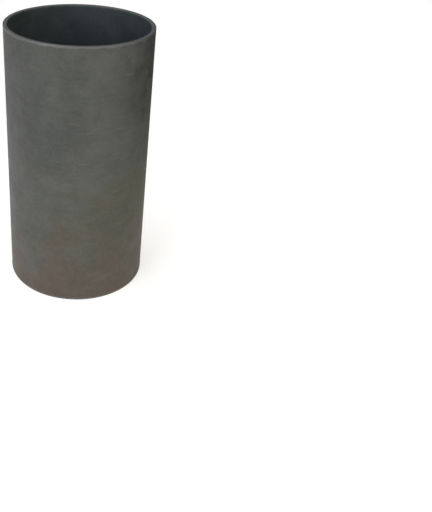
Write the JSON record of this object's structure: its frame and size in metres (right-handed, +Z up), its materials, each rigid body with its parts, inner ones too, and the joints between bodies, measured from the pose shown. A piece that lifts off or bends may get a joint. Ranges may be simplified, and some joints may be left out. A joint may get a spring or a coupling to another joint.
{
  "type": "steel pipe",
  "caption": "Short round thin-walled steel pipe, sawn square at both ends and open right through, with a dull grey zinc finish.",
  "frame": {"origin": "centre of the lower sawn end, on the pipe's axis", "axes": "+Z up along the pipe's axis; the pipe is round, so +X and +Y are any two directions across it"},
  "size_m": [0.1142, 0.1142, 0.215],
  "materials": {
    "dull_zinc": "dull dark grey zinc coat on steel, matt and faintly mottled"
  },
  "bodies": {
    "root": {"pipe": "dull_zinc"}
  },
  "joints": []
}
